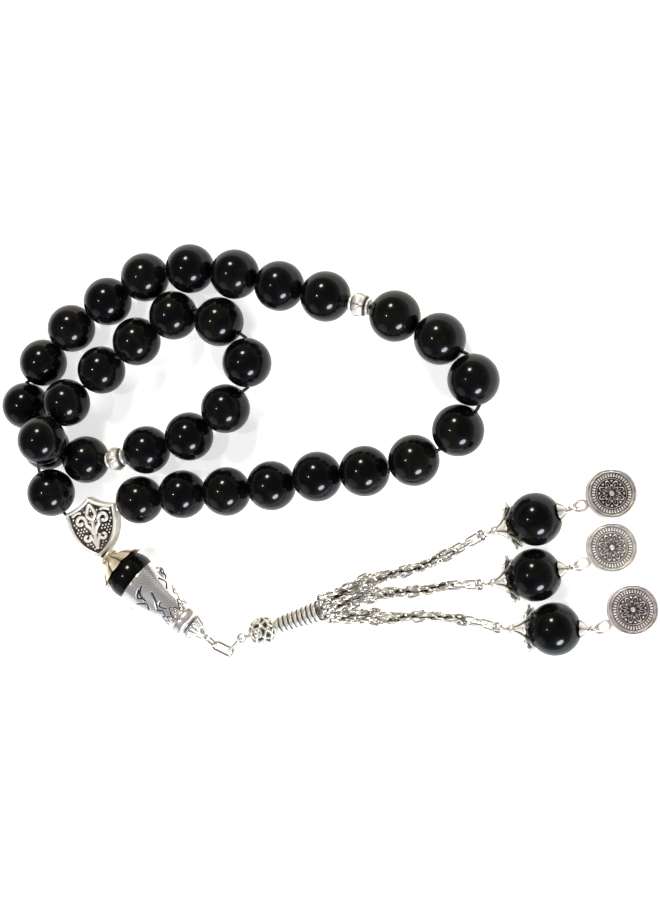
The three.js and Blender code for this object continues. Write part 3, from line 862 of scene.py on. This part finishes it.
def rope_link(i, strand):
    """One small link of a strand, beside the rope's middle line, with a painted highlight on its outside and
    painted shade towards the rope's middle.
    """
    wind = math.radians(36 * i + 180 * strand)
    apart = 0.5 + 0.6 * math.exp(-(((i * ROPE_PITCH - 7) / 5) ** 2))
    aside = Matrix.Translation((apart * math.cos(wind), 0.35 * math.sin(wind), 0))
    lean = Matrix.Rotation(math.radians(14 * math.sin(2.9 * i + strand)), 4, "X")
    roll = Matrix.Rotation(wind + math.radians(90 * (i % 2) + 25 * math.sin(1.7 * i + strand)), 4, "Z")
    link = level_link(**ROPE_LINK).moved(aside @ lean @ roll)
    outward = np.hypot(*np.array(link.points)[:, :2].T)
    # Painted highlight and shade: the link is bright where it lies out on the rope's surface and dark towards the
    # middle, where the links meet.
    link.polish_and_painted_light = 0.12 + 0.88 * ease(outward, 0.25, 0.9)
    return link


def chain(letter):
    """A rope of two strands of small links wound round each other, then loose rings up to the last one."""
    path, end, aim = chain_path(letter)
    whole = along(path, 0)[2]
    made = Shape()
    for i in range(-1, int((whole - LOOSE_LENGTH) / ROPE_PITCH)):
        place, direction, _ = along(path, i * ROPE_PITCH + 0.2)
        at = unscaled(frame_at(Vector(place) + UP * ROPE_LIFT, direction))
        for strand in range(2):
            made.join(rope_link(i, strand).moved(at))
    step = LOOSE_LENGTH / LOOSE_RINGS
    for i in range(LOOSE_RINGS):
        place, direction, _ = along(path, whole - LOOSE_LENGTH + step * i)
        turn = Matrix.Rotation(math.radians(90 * (i % 2) + 20), 4, "Z")
        ring = level_link(step + 1.5, 0.24, 0.85, 11)
        made.join(ring.moved(unscaled(frame_at(Vector(place), direction)) @ turn))
    last = frame_at(end - aim * EYE_RADIUS, aim)
    made.join(level_link(2 * EYE_RADIUS).moved(unscaled(last)))
    return made


def unscaled(matrix):
    """A frame from frame_at for places that are in millimetres already."""
    return matrix @ Matrix.Scale(1 / MM, 4)


def flower_cap():
    """A fluted trumpet that flares to pierced petals, with a grain on each tip. It stands off the bead."""
    profile = [(0.9, -8), (1.1, -7.5), (1.55, -6.9), (2.2, -6.2), (2.95, -5.55), (3.7, -5.0), (4.4, -4.6)]
    cap = petal_cap(profile, PETALS, 0.16, 0.1, hole=(0.8, 0.05, 0.1))
    for i in range(PETALS):
        turn = 2 * math.pi * i / PETALS
        grain = lathe(ball_profile(0.32, 0.02, 8), 10)
        cap.join(shifted(grain, 4.35 * math.cos(turn), 4.35 * math.sin(turn), -4.65))
    return cap


def bead_pin():
    """A shaft with an eye at each end, and the far eye's wire wound round it."""
    pin = shaft(0.35, *PIN_SHAFT)
    pin.join(shifted(eye(), z=PIN_NEAR_EYE)).join(shifted(eye(), z=PIN_FAR_EYE))
    pin.join(wrapped(6.25, PIN_SHAFT[1], 0.5, 2))
    return pin


def end_cap():
    """A small domed cap with a scalloped rim, on the bead's far side."""
    profile = [(0.5, 6.0), (0.8, 5.9), (1.2, 5.6), (1.55, 5.25), (1.8, 4.95)]
    dome = petal_cap(profile, 7, 0.12, 0.08, sides=112)
    return dome.join(collar(0.6, 5.9, 6.5))


def coin_height(radius, turn):
    """The relief of a coin's face above its ground: rim, wavy line, ring of dashes and a rosette."""
    rim = ease(radius, 4.38, 4.52)
    band = 0.3 * ease(radius, 3.74, 3.84)
    wavy = ridge(radius - 4.08 - 0.06 * np.cos(16 * turn), 0.14) * 0.7
    dash_ring = ease(radius, 3.0, 3.12) * (1 - ease(radius, 3.6, 3.72))
    dash = ease(np.abs(np.sin(21 * turn)), 0.4, 0.7) * dash_ring
    line = ridge(radius - 2.78, 0.1) * 0.7
    outer = ridge(radius - 2.4 * np.abs(np.cos(4 * turn)) ** 0.55, 0.2)
    inner = ridge(radius - 1.5 * np.abs(np.sin(4 * turn)) ** 0.55, 0.18)
    vein = ridge(np.sin(4 * turn) * radius / 4, 0.12) * ease(radius, 0.7, 0.9) * (1 - ease(radius, 1.8, 2))
    seeds = ridge(np.hypot(radius - 2.3, (np.abs(np.sin(4 * turn)) - 1) * 2.4), 0.26)
    heart = 1 - ease(radius, 0.35, 0.55)
    relief = (rim, band, wavy, dash, line, outer, inner, vein, seeds, heart)
    return np.maximum.reduce(np.broadcast_arrays(*relief))


def coin(bail):
    """A disc with a struck face, a rounded edge and a plain back, and the ring it hangs by."""
    half = COIN_DEPTH / 2
    turn = angles(504)
    radius = np.array([0.03, *np.arange(0.1, 4.55, 0.07)])[:, None]
    relief = coin_height(radius, turn)
    face = turned(radius, turn, half - COIN_RELIEF * (1 - relief))
    rounding = [(4.62, 0.04), (4.72, 0.14), (4.79, 0.3), (4.83, 0.5)]
    front_edge = np.array([(across, half - below) for across, below in rounding])
    back_edge = front_edge[::-1] * (1, -1)
    back = [(4.0, -half), (3.9, -half + 0.08), (0.03, -half + 0.08)]
    edge = np.vstack([front_edge, (COIN_RADIUS, 0), back_edge, back])
    rows = np.concatenate([face, turned(edge[:, :1], turn, edge[:, 1:])])
    polish_and_painted_light = np.concatenate([0.1 + 0.9 * relief, np.full((len(edge), turn.shape[1]), 0.9)])
    shape = Shape()
    shape.grid(rows, polish_and_painted_light, capped=True)
    shape.moved(Matrix.Rotation(-math.pi / 2, 4, "X"))
    middle = bail - EYE_RADIUS + 0.1 + COIN_RADIUS
    ring = level_link(bail)
    ring.polish_and_painted_light = [0.55] * len(ring.points)
    return shifted(shape, z=middle).join(ring)


def hung_in(arc, flat, aim):
    """The place of a ring that hangs in another, whose arc has its centre there and lies across flat."""
    contact = (aim - aim.project(flat)).normalized()
    return arc + contact * EYE_RADIUS * MM + aim * (EYE_RADIUS - LINK_GRIP) * MM


for letter in STRANDS:
    chain_name = f"chain_{letter}"
    chain(letter).build(f"{chain_name}_links", chain_name, WIRE, Matrix.Scale(MM, 4), [chain_name])

    bead_name = f"tassel_bead_{letter}"
    pin_name = f"tassel_pin_{letter}"
    pin_frame = spin_frame(bead_name)
    bored_bead().build(f"{bead_name}_fine", bead_name, ONYX, pin_frame, [bead_name], "onyx")
    bead_pin().build(f"{pin_name}_fine", pin_name, WIRE, pin_frame, [pin_name])
    end_cap().build(f"end_cap_{letter}", pin_name, CAST, pin_frame, solidify=0.2)

    cap_name = f"flower_cap_{letter}"
    flower_cap().build(f"{cap_name}_fine", pin_name, CAST, pin_frame, [cap_name], solidify=0.28)
    collar(1.0, -8.8, -7.7).build(f"flower_neck_{letter}", pin_name, CAST, pin_frame)

    coin_name = f"coin_{letter}"
    aim = heading(*COIN_HEADINGS[letter])
    across = Vector(JOINTS[f"{pin_name}_lift"]["axis"])
    coin_frame = frame_at(hung_in(place_of(f"{coin_name}_lift"), across, aim), aim)
    coin(COIN_BAILS[letter]).build(f"{coin_name}_fine", coin_name, COINS[letter], coin_frame, [coin_name])


# ---- Floor, lights and camera ----

FLOOR_REACH = 3.0
LIGHTS_AWAY = 0.8
CAMERA_LENS = 54.48
CAMERA_TILT = (-3.37, 20.9)
CAMERA_AWAY = 0.2743


def add_floor():
    mesh = bpy.data.meshes.new("floor")
    corners = [(-FLOOR_REACH, -FLOOR_REACH, 0), (FLOOR_REACH, -FLOOR_REACH, 0)]
    corners += [(FLOOR_REACH, FLOOR_REACH, 0), (-FLOOR_REACH, FLOOR_REACH, 0)]
    mesh.from_pydata(corners, [], [(0, 1, 2, 3)])
    mesh.materials.append(pale_floor())
    floor = bpy.data.objects.new("floor", mesh)
    bpy.context.scene.collection.objects.link(floor)


def add_light(name, toward, size, power, colour, shape="DISK", width=None):
    """An area light that stands in a direction from the object and faces it."""
    lamp = bpy.data.lights.new(name, "AREA")
    lamp.shape = shape
    lamp.size = width or size
    if shape == "ELLIPSE":
        lamp.size_y = size
    lamp.energy = power
    lamp.color = colour
    light = bpy.data.objects.new(name, lamp)
    direction = Vector(toward).normalized()
    light.location = direction * LIGHTS_AWAY
    light.rotation_euler = direction.to_track_quat("Z", "Y").to_euler()
    bpy.context.scene.collection.objects.link(light)


def add_sky():
    """Pale at the horizon and dim overhead, so that glossy black stays black."""
    world = bpy.data.worlds.new("studio")
    world.use_nodes = True
    tree = world.node_tree
    background = tree.nodes["Background"]
    coordinates = tree.nodes.new("ShaderNodeTexCoord")
    split = tree.nodes.new("ShaderNodeSeparateXYZ")
    ramp = tree.nodes.new("ShaderNodeValToRGB")
    ramp.color_ramp.elements[0].color = (0.45, 0.455, 0.47, 1)
    ramp.color_ramp.elements[1].color = (0.13, 0.13, 0.135, 1)
    ramp.color_ramp.elements[0].position = 0.12
    ramp.color_ramp.elements[1].position = 0.45
    tree.links.new(coordinates.outputs["Generated"], split.inputs[0])
    tree.links.new(split.outputs["Z"], ramp.inputs[0])
    tree.links.new(ramp.outputs[0], background.inputs["Color"])
    bpy.context.scene.world = world


def add_camera():
    camera = bpy.data.cameras.new("camera")
    camera.lens = CAMERA_LENS
    camera.sensor_width = 36
    view = bpy.data.objects.new("camera", camera)
    view.rotation_euler = (*map(math.radians, CAMERA_TILT), 0)
    aim = ROUTE_ORIGIN * MM
    view.location = aim + view.rotation_euler.to_matrix() @ Vector((0, 0, CAMERA_AWAY))
    bpy.context.scene.collection.objects.link(view)
    bpy.context.scene.camera = view


add_floor()
add_light("lamp", (-0.05, 0.72, 0.69), 0.17, 4, (1, 0.9, 0.74))
add_light("spot", (-0.31, 0.05, 0.95), 0.035, 0.8, (1, 0.98, 0.95))
add_light("window", (0.49, -0.73, 0.47), 0.24, 8, (0.82, 0.9, 1), "ELLIPSE", 0.36)
add_light("fill", (-0.62, -0.7, 0.36), 0.5, 0.55, (0.85, 0.91, 1))
add_sky()
add_camera()
bpy.context.scene.view_settings.view_transform = "Standard"
